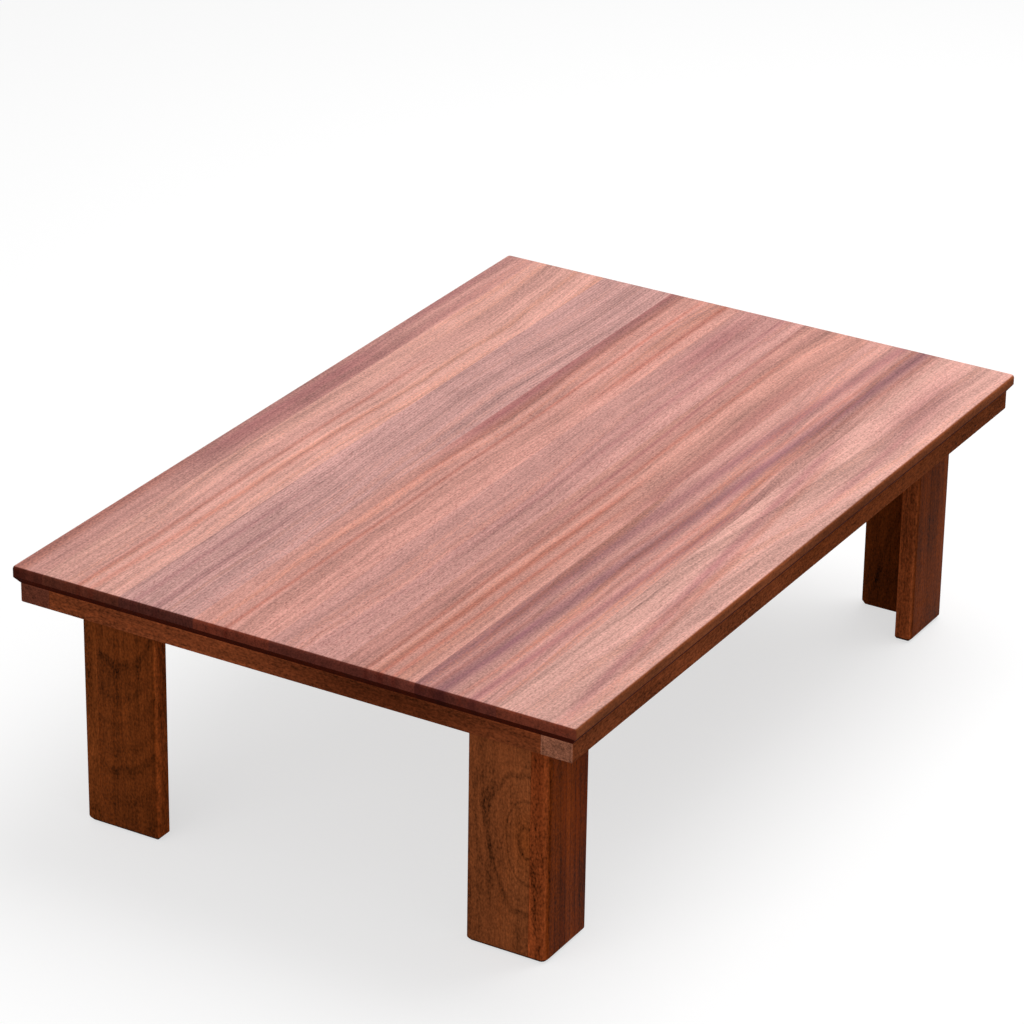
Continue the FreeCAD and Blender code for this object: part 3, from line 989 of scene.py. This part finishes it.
@dataclass
class TableTop:
    """The top of eight planks glued edge to edge, each with its own tone and grain."""

    finish: WoodFinish = TOP_FINISH
    # A stripe's numbers are its far, middle and near place, its width, its strength, and its start and end
    planks: tuple[Board, ...] = (
        plank(
            1, paint(199, 144, 134), paint(91, 42, 31),
            Stripe(0.03, 0.028, 0.02, 0.014, 0.75, 0.32, 0.68, PLUM),
            Stripe(0.012, 0.012, 0.012, 0.006, 0.5, 0.06, 0.26, PLUM),
            Stripe(0.045, 0.05, 0.05, 0.006, 0.4, 0.1, 0.55, PLUM),
            Stripe(0.004, 0.004, 0.01, 0.008, 0.5, 0.68, 1.3, RUST),
            purple=0.4, orange=0.3, pores=0.4,
        ),
        plank(
            2, paint(212, 157, 144), paint(102, 51, 37),
            Stripe(0.122, 0.124, 0.126, 0.003, 0.5, 0.35, 1.3, RUST),
            Stripe(0.165, 0.158, 0.15, 0.004, 0.4, 0.45, 1.3, RUST),
            purple=0.12, orange=0.4, pores=0.4, slant=0.01,
        ),
        plank(
            3, paint(195, 147, 140), paint(88, 44, 36),
            Stripe(0.236, 0.234, 0.228, 0.003, 0.5, 0.7, 1.3, PLUM),
            Stripe(0.272, 0.27, 0.268, 0.004, 0.4, 0.75, 1.3, PLUM),
            purple=0.15, orange=0.3, pores=0.6, rings=Rings(rate=290.0, contrast=0.24, line=0.2),
        ),
        plank(
            4, paint(199, 143, 131), paint(120, 56, 40),
            Stripe(0.341, 0.344, 0.338, 0.008, 0.85, -0.3, 0.5, PLUM),
            Stripe(0.36, 0.362, 0.36, 0.004, 0.4, 0.0, 0.6, RUST),
            Stripe(0.447, 0.446, 0.44, 0.004, 0.6, -0.3, 0.3, RUST),
            Stripe(0.4, 0.399, 0.396, 0.0025, 0.5, 0.0, 1.3, RUST),
            purple=0.25, orange=0.4, pores=0.6,
        ),
        plank(
            5, paint(194, 142, 133), paint(101, 49, 39),
            Stripe(0.51, 0.515, 0.52, 0.014, 0.7, 0.02, 0.2, PLUM),
            Stripe(0.56, 0.562, 0.565, 0.003, 0.45, -0.3, 0.7, PLUM),
            purple=0.3, orange=0.3, pores=0.7,
        ),
        plank(
            6, paint(198, 142, 129), paint(112, 55, 44),
            Stripe(0.604, 0.622, 0.63, 0.0025, 0.6, 0.0, 0.6, PLUM),
            # This stripe is partly a purple band in the wood and partly a painted shadow of a vase standing
            # on the top.
            Stripe(0.702, 0.722, 0.73, 0.01, 0.5, 0.15, 0.55, PLUM),
            Stripe(0.68, 0.674, 0.669, 0.004, 0.6, 0.5, 1.3, RUST),
            Stripe(0.705, 0.7, 0.692, 0.003, 0.5, 0.55, 1.3, RUST),
            Stripe(0.647, 0.646, 0.644, 0.003, 0.5, 0.1, 1.3, RUST),
            purple=0.3, orange=0.3, pores=0.5, slant=-0.015,
        ),
        plank(
            7, paint(202, 148, 137), paint(110, 54, 43),
            Stripe(0.832, 0.806, 0.7715, 0.0085, 0.85, colour=(0.5, 0.42, 0.54)),
            Stripe(0.792, 0.7555, 0.732, 0.0085, 0.75, colour=(0.6, 0.5, 0.6)),
            Stripe(0.885, 0.854, 0.8275, 0.0055, 0.75, 0.44, colour=(0.62, 0.5, 0.58)),
            Stripe(0.815, 0.786, 0.757, 0.003, 0.35, colour=RUST),
            Stripe(0.85, 0.832, 0.805, 0.003, 0.35, colour=RUST),
            purple=0.2, orange=0.6, pores=0.3, slant=0.035,
        ),
        plank(
            8, paint(209, 158, 146), paint(126, 61, 43),
            Stripe(0.826, 0.9005, 0.972, 0.006, 0.7, 0.28, 0.98, PLUM),
            Stripe(0.84, 0.918, 0.99, 0.004, 0.4, 0.33, 0.9, RUST),
            Stripe(0.92, 0.95, 0.97, 0.018, 0.6, 0.06, 0.24, PLUM),
            Stripe(0.94, 0.965, 0.985, 0.005, 0.55, 0.2, 0.42, PLUM),
            Stripe(1.0, 1.0, 1.0, 0.0015, 0.9, 0.12, 0.5, (0.62, 0.55, 0.48)),
            purple=0.15, orange=0.3, pores=0.5, slant=-0.06,
        ),
    )

    def build(self) -> None:
        """Dress every plank of the frame's top."""
        dresser = WoodDresser(self.finish)
        for board in self.planks:
            give(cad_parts[board.node], dresser.dress(board))
            log.info("%s dressed", board.node)


APRON_RINGS = Rings(across=0.02, deep=0.04, rise=0.05, rate=120.0)


@dataclass
class Rim:
    """The four aprons glued up under the top, and the two battens across it."""

    easing: float = 0.0006
    aprons: tuple[Board, ...] = (
        Board(
            "apron_long_left", Cut.LENGTHWISE, 11.0, paint(140, 72, 44),
            end_tone=paint(112, 60, 44),
        ),
        Board(
            "apron_long_right", Cut.LENGTHWISE, 12.0, paint(149, 79, 46),
            end_tone=paint(172, 110, 84),
            stripes=(Stripe(0.99, 0.99, 0.99, 0.6, 0.95, -0.3, 0.55, colour=(0.68, 0.63, 0.52)),),
        ),
        Board(
            "apron_short_near", Cut.CROSSWISE, 13.0, paint(155, 80, 45),
            rings=APRON_RINGS,
            stripes=(Stripe(0.68, 0.68, 0.68, 0.13, 0.95, colour=(0.42, 0.38, 0.36)),),
        ),
        Board(
            "apron_short_far", Cut.CROSSWISE, 14.0, paint(142, 70, 38),
            rings=APRON_RINGS,
        ),
    )
    battens: tuple[Board, ...] = (
        Board(
            "batten_near", Cut.CROSSWISE, 15.0, paint(160, 110, 78),
            end_tone=paint(120, 78, 54), purple=0.1,
        ),
        Board(
            "batten_far", Cut.CROSSWISE, 16.0, paint(154, 104, 74),
            end_tone=paint(120, 78, 54), purple=0.1,
        ),
    )

    def build(self) -> None:
        """Make and dress the aprons and the battens."""
        for finish, boards in ((RIM_FINISH, self.aprons), (INNER_FINISH, self.battens)):
            dresser = WoodDresser(finish)
            for board in boards:
                piece = eased_copy(board.node, self.easing)
                give(piece, dresser.dress(board))
                fit(piece, finish.slot, board.node)


@dataclass
class Leg:
    """One leg: its side board, its end board and the block in its corner."""

    corner: str
    side_tone: Colour
    end_tone: Colour
    seed: float
    side_look: dict[str, Any] = field(default_factory=dict)
    end_look: dict[str, Any] = field(default_factory=dict)
    foot_tone: Colour = paint(80, 38, 20)
    block_tone: Colour = paint(158, 106, 74)
    block_end_tone: Colour = paint(126, 82, 56)
    block_purple: float = 0.1
    end_seed_step: float = 0.5
    block_seed_step: float = 0.8
    easing: float = 0.0006

    def build(self) -> None:
        """Make and dress the leg's three pieces."""
        name = "leg_" + self.corner
        side = Board(
            name + "_side_board", Cut.UPRIGHT_FACING_SIDE, self.seed, self.side_tone,
            end_tone=self.foot_tone, **self.side_look,
        )
        end = Board(
            name + "_end_board", Cut.UPRIGHT_FACING_END, self.seed + self.end_seed_step, self.end_tone,
            end_tone=self.foot_tone, **self.end_look,
        )
        block = Board(
            name + "_corner_block", Cut.UPRIGHT_FACING_END, self.seed + self.block_seed_step, self.block_tone,
            end_tone=self.block_end_tone, purple=self.block_purple,
        )
        for finish, board in ((LEG_FINISH, side), (LEG_FINISH, end), (INNER_FINISH, block)):
            piece = eased_copy(board.node, self.easing)
            give(piece, WoodDresser(finish).dress(board))
            fit(piece, finish.slot, board.node)


# Each leg's edge tones are painted light and shade. The near-left end board's edge, the far-right side
# board's edge and the far-right end board are painted lighter against the shade under the table.
LEGS = (
    Leg(
        "near_left", paint(124, 58, 22), paint(127, 62, 25), 21.0,
        side_look={"painted_edge_shading": paint(142, 72, 32)},
        end_look={
            "painted_edge_shading": paint(184, 92, 42), "purple": 0.3, "orange": 0.3,
            "rings": Rings(
                across=-0.006, deep=0.08, rise=-0.27, rate=33.7, phase=0.669, contrast=0.5,
                line=0.94, ragged=0.3,
            ),
        },
    ),
    Leg(
        "near_right", paint(138, 61, 19), paint(148, 80, 43), 23.0,
        side_look={
            "painted_edge_shading": paint(178, 86, 42), "purple": 0.9, "pores": 0.15,
            "rings": Rings(rate=110.0, contrast=0.4),
        },
        end_look={
            "purple": 0.2, "orange": 0.2, "pores": 0.35,
            "rings": Rings(
                across=0.05, deep=0.1, rise=-0.05, rate=6.0, phase=0.2, contrast=0.5,
                knot=Knot(across=0.028, along=-0.007, reach_across=0.029, reach_along=0.052, turns=2.6),
                line=0.88, ragged=0.8,
            ),
        },
    ),
    Leg(
        "far_left", paint(118, 56, 22), paint(116, 56, 20), 25.0,
        end_look={
            "rings": Rings(
                across=-0.02, deep=-0.08, rise=0.2, rate=40.0, phase=0.1, contrast=0.4,
                line=0.9, ragged=0.4,
            ),
        },
    ),
    Leg(
        # Painted light: this leg's end tone and its side board's edge tone are raised against the shade under
        # the table.
        "far_right", paint(123, 55, 18), paint(136, 66, 25), 27.0,
        side_look={"painted_edge_shading": paint(180, 91, 48), "rings": Rings(rate=110.0, contrast=0.25)},
        end_look={
            "rings": Rings(
                across=0.03, deep=-0.08, rise=-0.2, rate=40.0, phase=0.4, contrast=0.4,
                line=0.9, ragged=0.4,
            ),
        },
    ),
)


@dataclass(frozen=True)
class MetalFinish:
    """A small fitting's metal: its colour, how dull it is and how its plating clouds."""

    name: str
    colour: Colour
    stain: Colour
    roughness: float
    clouds: Clouds
    scratch: float
    stained_from: float = 0.0
    stained_to: float = 0.22
    brushing: Clouds = Clouds(2600.0)
    brush_stretch: float = 0.1
    cloud_dull: float = 0.3
    brush_dull: float = 0.2
    scratch_level: float = 0.5
    scratch_depth: float = 0.00005

    def material(self) -> bpy.types.Material:
        """Make the metal.

        Returns:
            The material.
        """
        recipe = Recipe(bpy.data.materials.new(self.name))
        place = recipe.node("ShaderNodeTexCoord").outputs["Object"]
        cloud = recipe.noise(place, self.clouds)
        x, y, z = recipe.split(place)
        brushed = recipe.noise(recipe.point(recipe.times(x, self.brush_stretch), y, z), self.brushing)
        stained = recipe.ease(cloud, self.stained_from, self.stained_to)
        recipe.shade("Base Color", recipe.blend(stained, self.colour, self.stain))
        recipe.shade("Metallic", 1.0)
        dull = recipe.weigh((1.0, self.roughness), (cloud, self.cloud_dull), (brushed, self.brush_dull))
        recipe.shade("Roughness", dull)
        relief = recipe.weigh((brushed, 1.0), (1.0, self.scratch_level))
        recipe.emboss(relief, self.scratch, self.scratch_depth)
        return recipe.owner


def turned(name: str, profile: Sequence[tuple[float, float]], steps: int) -> bpy.types.Object:
    """Turn a piece about the Z axis, as on a lathe.

    Args:
        name: The piece's name.
        profile: Its outline from one end to the other, as radius and height.
        steps: How many faces there are round it.

    Returns:
        The turned piece, upright on the origin.
    """
    first_radius, first_height = profile[0]
    start = (first_radius, 0.0, first_height)
    piece = primitive(bpy.ops.mesh.primitive_plane_add, size=POINT_SIZE, location=start)
    piece.name = piece.data.name = name
    bpy.ops.object.mode_set(mode="EDIT")
    bpy.ops.mesh.select_all(action="SELECT")
    bpy.ops.mesh.merge(type="CENTER")
    for (radius, height), (next_radius, next_height) in zip(profile, profile[1:]):
        step = (next_radius - radius, 0.0, next_height - height)
        bpy.ops.mesh.extrude_region_move(TRANSFORM_OT_translate={"value": step})
    bpy.ops.mesh.select_all(action="SELECT")
    bpy.ops.mesh.spin(steps=steps, angle=WHOLE_TURN, center=ORIGIN, axis=UP)
    bpy.ops.mesh.select_all(action="SELECT")
    bpy.ops.mesh.remove_doubles(threshold=FINE_MERGE_DISTANCE)
    bpy.ops.mesh.normals_make_consistent(inside=False)
    bpy.ops.object.mode_set(mode="OBJECT")
    return piece


def combine(piece: bpy.types.Object, other: bpy.types.Object, operation: str) -> None:
    """Cut, join or trim a piece with another, which is used up.

    Args:
        piece: The piece that stays.
        other: The piece that cuts it.
        operation: DIFFERENCE, UNION or INTERSECT.
    """
    tool = piece.modifiers.new("combine", "BOOLEAN")
    tool.operation = operation
    tool.solver = "EXACT"
    tool.object = other
    apply_all(piece)
    bpy.data.objects.remove(other, do_unlink=True)


def set_out(master: bpy.types.Object, name: str, spots: Sequence[tuple[float, float]]) -> bpy.types.Object:
    """Set copies of a fastener at several spots and make them one piece.

    Args:
        master: The fastener, on the Z axis at its own height.
        name: The new piece's name.
        spots: The places in plan.

    Returns:
        The new piece. The fastener itself is used up.
    """
    copies = []
    for x, y in spots:
        copy = master.copy()
        copy.data = master.data.copy()
        copy.location = (x, y, 0.0)
        bpy.context.scene.collection.objects.link(copy)
        copies.append(copy)
    bpy.data.objects.remove(master, do_unlink=True)
    bpy.ops.object.select_all(action="DESELECT")
    for copy in copies:
        copy.select_set(True)
    bpy.context.view_layer.objects.active = copies[0]
    bpy.ops.object.transform_apply(location=True, rotation=True, scale=True)
    bpy.ops.object.join()
    copies[0].name = copies[0].data.name = name
    return copies[0]


@dataclass(frozen=True)
class Thread:
    """A screw thread: how far its ridges stand out and how far apart they are."""

    depth: float
    pitch: float

    def ridges(self, crest: float, low: float, high: float) -> list[tuple[float, float]]:
        """Draw the outline of the ridges.

        Args:
            crest: The radius at their tops.
            low: Where the thread starts.
            high: Where it ends.

        Returns:
            Pairs of radius and height.
        """
        core, count = crest - self.depth, int((high - low) / self.pitch)
        points = []
        for number in range(count):
            start = low + number * self.pitch
            points += [(core, start), (crest, start + self.pitch / 2)]
        return points + [(core, low + count * self.pitch)]


@dataclass
class Hardware:
    """The leg bolts with their washers and inserts, and the screws of the battens."""

    bolt_spots: tuple[tuple[float, float], ...] = (
        (-0.209, -0.373), (0.209, -0.373), (-0.209, 0.373), (0.209, 0.373)
    )
    steps: int = 40
    smooth_degrees: float = 35.0
    overlap: float = 0.001
    thread_gap: float = 0.0004
    head_flats: float = 0.013
    head_height: float = 0.0053
    head_low: float = 0.2071
    chamfer_share: float = 0.94
    chamfer_degrees: float = 30.0
    chamfer_steps: int = 48
    dish_radii: tuple[float, float] = (0.0042, 0.0036)
    dish_depths: tuple[float, float] = (0.0004, 0.0005)
    shank_radius: float = 0.004
    shank_high: float = 0.265
    shank_tip: float = 0.001
    bolt_thread: Thread = Thread(0.0006, 0.00125)
    bolt_thread_length: float = 0.022
    washer_radius: float = 0.01
    washer_bore: float = 0.0043
    washer_low: float = 0.2124
    washer_height: float = 0.0016
    washer_softness: float = 0.00025
    washer_corner: float = 0.6
    washer_steps: int = 56
    insert_radius: float = 0.006
    insert_bore: float = 0.0041
    insert_low: float = 0.254
    insert_high: float = 0.267
    insert_collar: float = 0.0012
    insert_thread: Thread = Thread(0.0009, 0.0026)
    insert_thread_end: float = 0.0006
    screw_across: tuple[float, ...] = (-0.201, 0.0, 0.201)
    screw_along: tuple[float, ...] = (-0.19, 0.19)
    screw_low: float = 0.238
    screw_high: float = 0.264
    screw_head_radius: float = 0.004
    screw_head_chamfer: tuple[float, float] = (0.0003, 0.0002)
    screw_radius: float = 0.002
    screw_shank_share: float = 0.78
    screw_shank_end: float = 0.008
    screw_thread: Thread = Thread(0.00068, 0.0018)
    screw_thread_end: float = 0.004
    screw_point_share: float = 0.3
    screw_point_length: float = 0.0012
    screw_steps: int = 32
    recess_size: tuple[float, float, float] = (0.0044, 0.0009, 0.0030)
    recess_middle: float = 0.0002
    recess_taper: float = 0.45
    steel: MetalFinish = MetalFinish(
        "zinc_plate", paint(196, 198, 200), paint(164, 160, 146),
        roughness=0.34, clouds=Clouds(240.0, 4.0, 0.6), scratch=0.4,
    )
    brass: MetalFinish = MetalFinish(
        "yellow_brass", paint(206, 168, 96), paint(158, 118, 60),
        roughness=0.3, clouds=Clouds(300.0, 4.0, 0.6), scratch=0.3,
    )

    def bolts(self) -> bpy.types.Object:
        """Make the hexagon bolts.

        Returns:
            The four as one piece.
        """
        low, high = self.head_low, self.head_low + self.head_height
        size = {"depth": self.head_height, "location": (0.0, 0.0, low + self.head_height / 2)}
        corner_radius = self.head_flats / math.sqrt(3)
        head = primitive(bpy.ops.mesh.primitive_cylinder_add, vertices=6, radius=corner_radius, **size)
        rim = self.head_flats / 2 * self.chamfer_share
        spread = self.head_height / math.tan(math.radians(self.chamfer_degrees))
        trim = primitive(
            bpy.ops.mesh.primitive_cone_add,
            vertices=self.chamfer_steps,
            radius1=rim,
            radius2=rim + spread,
            **size,
        )
        combine(head, trim, "INTERSECT")
        mouth, floor = self.dish_radii
        rim_depth, middle_depth = self.dish_depths
        below = low - self.overlap
        dish = ((0.0, below), (mouth, below), (floor, low + rim_depth), (0.0, low + middle_depth))
        combine(head, turned("dish", dish, self.steps), "DIFFERENCE")
        radius, start, tip = self.shank_radius, high - self.overlap, self.shank_high
        thread_low = tip - self.bolt_thread_length
        shank = [(0.0, start), (radius, start), (radius, thread_low - self.thread_gap)]
        shank += self.bolt_thread.ridges(radius, thread_low, tip - self.shank_tip)
        shank += [(radius - self.shank_tip, tip), (0.0, tip)]
        combine(head, turned("shank", shank, self.steps), "UNION")
        smooth(head, self.smooth_degrees)
        return set_out(head, "leg_bolts_hexagon", self.bolt_spots)

    def washers(self) -> bpy.types.Object:
        """Make the pressed washers.

        Returns:
            The four as one piece.
        """
        inner, outer = self.washer_bore, self.washer_radius
        low, high, soft = self.washer_low, self.washer_low + self.washer_height, self.washer_softness
        corner = soft * self.washer_corner
        profile = (
            (inner, low + soft), (inner + soft, low),
            (outer - soft * 2, low), (outer - corner, low + corner), (outer, low + soft * 2),
            (outer, high - soft), (outer - soft, high),
            (inner + soft, high), (inner, high - soft), (inner, low + soft),
        )
        ring = turned("washer", profile, self.washer_steps)
        smooth(ring)
        return set_out(ring, "bolt_washers_pressed", self.bolt_spots)

    def inserts(self) -> bpy.types.Object:
        """Make the threaded inserts.

        Returns:
            The four as one piece.
        """
        inner, outer, low, high = self.insert_bore, self.insert_radius, self.insert_low, self.insert_high
        collar = low + self.insert_collar
        profile = [(inner, low), (outer, low), (outer, collar)]
        profile += self.insert_thread.ridges(outer, collar + self.thread_gap, high - self.insert_thread_end)
        profile += [(outer - self.insert_collar, high), (inner, high), (inner, low)]
        sleeve = turned("insert", profile, self.steps)
        smooth(sleeve, self.smooth_degrees)
        return set_out(sleeve, "threaded_inserts_ridged", self.bolt_spots)

    def screws(self) -> bpy.types.Object:
        """Make the countersunk screws.

        Returns:
            The six as one piece.
        """
        low, high = self.screw_low, self.screw_high
        wide, narrow = self.screw_head_radius, self.screw_radius
        inward, upward = self.screw_head_chamfer
        shank, shank_end = narrow * self.screw_shank_share, low + self.screw_shank_end
        profile = [(0.0, low), (wide - inward, low), (wide, low + upward)]
        profile += [(shank, low + (wide - narrow)), (shank, shank_end)]
        thread_low, thread_high = shank_end + self.thread_gap, high - self.screw_thread_end
        profile += self.screw_thread.ridges(narrow, thread_low, thread_high)
        profile += [(narrow * self.screw_point_share, high - self.screw_point_length), (0.0, high)]
        screw = turned("screw", profile, self.screw_steps)
        for turn in (0.0, WHOLE_TURN / 4):
            combine(screw, self.recess_blade(low, turn), "DIFFERENCE")
        smooth(screw, self.smooth_degrees)
        spots = [(x, y) for y in self.screw_along for x in self.screw_across]
        return set_out(screw, "batten_screws_countersunk", spots)

    def recess_blade(self, low: float, turn: float) -> bpy.types.Object:
        """Make one of the two crossed blades that press the recess in a screw's head.

        Args:
            low: The height of the head's outer face.
            turn: How far the blade is turned about the screw.

        Returns:
            The blade, which grows narrow inwards.
        """
        blade = primitive(
            bpy.ops.mesh.primitive_cube_add,
            size=1.0,
            location=(0.0, 0.0, low + self.recess_middle),
            rotation=(0.0, 0.0, turn),
            scale=self.recess_size,
        )
        bpy.ops.object.mode_set(mode="EDIT")
        bpy.ops.mesh.select_all(action="DESELECT")
        bpy.ops.object.mode_set(mode="OBJECT")
        for corner in blade.data.vertices:
            corner.select = corner.co.z > low
        bpy.ops.object.mode_set(mode="EDIT")
        bpy.ops.transform.resize(value=(self.recess_taper, self.recess_taper, 1.0))
        bpy.ops.object.mode_set(mode="OBJECT")
        return blade

    def build(self) -> None:
        """Make and dress every fastener."""
        steel, brass = self.steel.material(), self.brass.material()
        for piece, metal, slot, node in (
            (self.bolts(), steel, "zinc_steel", "leg_bolts"),
            (self.washers(), steel, "zinc_steel", "bolt_washers"),
            (self.inserts(), brass, "brass", "threaded_inserts"),
            (self.screws(), steel, "zinc_steel", "batten_screws"),
        ):
            give(piece, metal)
            fit(piece, slot, node)


@dataclass
class Studio:
    """The plain pale floor, the soft lamps and the white surroundings."""

    floor_size: float = 14.0
    floor_colour: Colour = (0.4, 0.4, 0.4)
    floor_grain: Clouds = Clouds(60.0, 3.0)
    floor_contrast: float = 0.02
    floor_roughness: float = 0.9
    floor_glow: float = 0.64
    surround: float = 0.45
    aim: tuple[float, float, float] = (0.0, 0.0, 0.2)
    key_power: float = 55.0
    key_place: tuple[float, float, float] = (0.4, 1.0, 2.6)
    key_size: float = 2.2
    fill_power: float = 9.0
    fill_place: tuple[float, float, float] = (-0.6, -2.6, 1.5)
    fill_size: float = 1.6

    def floor(self) -> None:
        """Lay the floor, white to the camera except where the table's shadow falls."""
        level = (0.0, 0.0, FLOOR_LEVEL)
        floor = primitive(bpy.ops.mesh.primitive_plane_add, size=self.floor_size, location=level)
        floor.name = floor.data.name = "floor"
        recipe = Recipe(bpy.data.materials.new("pale_floor"))
        grain = recipe.noise(recipe.node("ShaderNodeTexCoord").outputs["Object"], self.floor_grain)
        lightness = recipe.weigh((1.0, 1.0), (grain, self.floor_contrast))
        recipe.shade("Base Color", recipe.scale_colour(self.floor_colour, lightness))
        recipe.shade("Roughness", self.floor_roughness)
        recipe.shade("Specular IOR Level", 0.0)
        recipe.shade("Emission Color", WHITE)
        recipe.shade("Emission Strength", recipe.times(self.seen_directly(recipe), self.floor_glow))
        give(floor, recipe.owner)

    def seen_directly(self, recipe: Recipe) -> Socket:
        """Tell the rays that show a thing from those that light one.

        Args:
            recipe: The tree of the floor or the world.

        Returns:
            One for a ray from the camera, a mirror or a glass, else nought.
        """
        path = recipe.node("ShaderNodeLightPath")
        seen = recipe.reckon("MAXIMUM", path.outputs["Is Camera Ray"], path.outputs["Is Glossy Ray"])
        return recipe.reckon("MAXIMUM", seen, path.outputs["Is Transmission Ray"])

    def surroundings(self) -> None:
        """Surround the scene with soft light that looks white."""
        recipe = Recipe(bpy.data.worlds.new("white_surroundings"))
        strength = recipe.node("ShaderNodeMapRange")
        recipe.feed(strength.inputs["Value"], self.seen_directly(recipe))
        recipe.feed(strength.inputs["To Min"], self.surround)
        recipe.shade("Color", WHITE)
        recipe.shade("Strength", strength.outputs["Result"])
        bpy.context.scene.world = recipe.owner

    def lamp(self, name: str, power: float, place: tuple[float, float, float], size: float) -> None:
        """Hang a soft lamp that points at the table.

        Args:
            name: The lamp's name.
            power: Its power in watts.
            place: Where it hangs.
            size: Its width and height.
        """
        light = bpy.data.lights.new(name, "AREA")
        light.energy = power
        light.size = size
        lamp = bpy.data.objects.new(name, light)
        lamp.location = place
        lamp.rotation_euler = (Vector(self.aim) - Vector(place)).to_track_quat("-Z", "Y").to_euler()
        bpy.context.scene.collection.objects.link(lamp)

    def build(self) -> None:
        """Set up the floor, the surroundings and the lamps."""
        bpy.context.scene.view_settings.view_transform = "Standard"
        self.floor()
        self.surroundings()
        self.lamp("key_lamp", self.key_power, self.key_place, self.key_size)
        self.lamp("fill_lamp", self.fill_power, self.fill_place, self.fill_size)


@dataclass
class PhotoCamera:
    """A camera that sees the table from the photo's own place."""

    image_width: float = 1024.0
    focal_pixels: float = 4446.0
    sensor: float = 36.0
    place: tuple[float, float, float] = (1.9458, -3.3915, 2.0877)
    forward: tuple[float, float, float] = (-0.45405, 0.77991, -0.43079)
    roll_degrees: float = 0.88

    def build(self) -> None:
        """Make the camera the scene's own."""
        data = bpy.data.cameras.new("photo_camera")
        data.sensor_width = self.sensor
        data.lens = self.focal_pixels / self.image_width * self.sensor
        camera = bpy.data.objects.new("photo_camera", data)
        ahead = Vector(self.forward).normalized()
        level = ahead.cross(Vector(UP)).normalized()
        above = level.cross(ahead)
        roll = math.radians(self.roll_degrees)
        right = level * math.cos(roll) + above * math.sin(roll)
        up = above * math.cos(roll) - level * math.sin(roll)
        placed = Matrix((right, up, -ahead)).transposed().to_4x4()
        placed.translation = Vector(self.place)
        camera.matrix_world = placed
        bpy.context.scene.collection.objects.link(camera)
        bpy.context.scene.camera = camera


def main() -> None:
    """Build the table's looks, piece by piece, and the scene round it."""
    logging.basicConfig(level=logging.INFO, format="%(name)s: %(message)s")
    PhotoCamera().build()
    Studio().build()
    TableTop().build()
    Rim().build()
    for leg in LEGS:
        leg.build()
    Hardware().build()


if __name__ == "__main__":
    main()
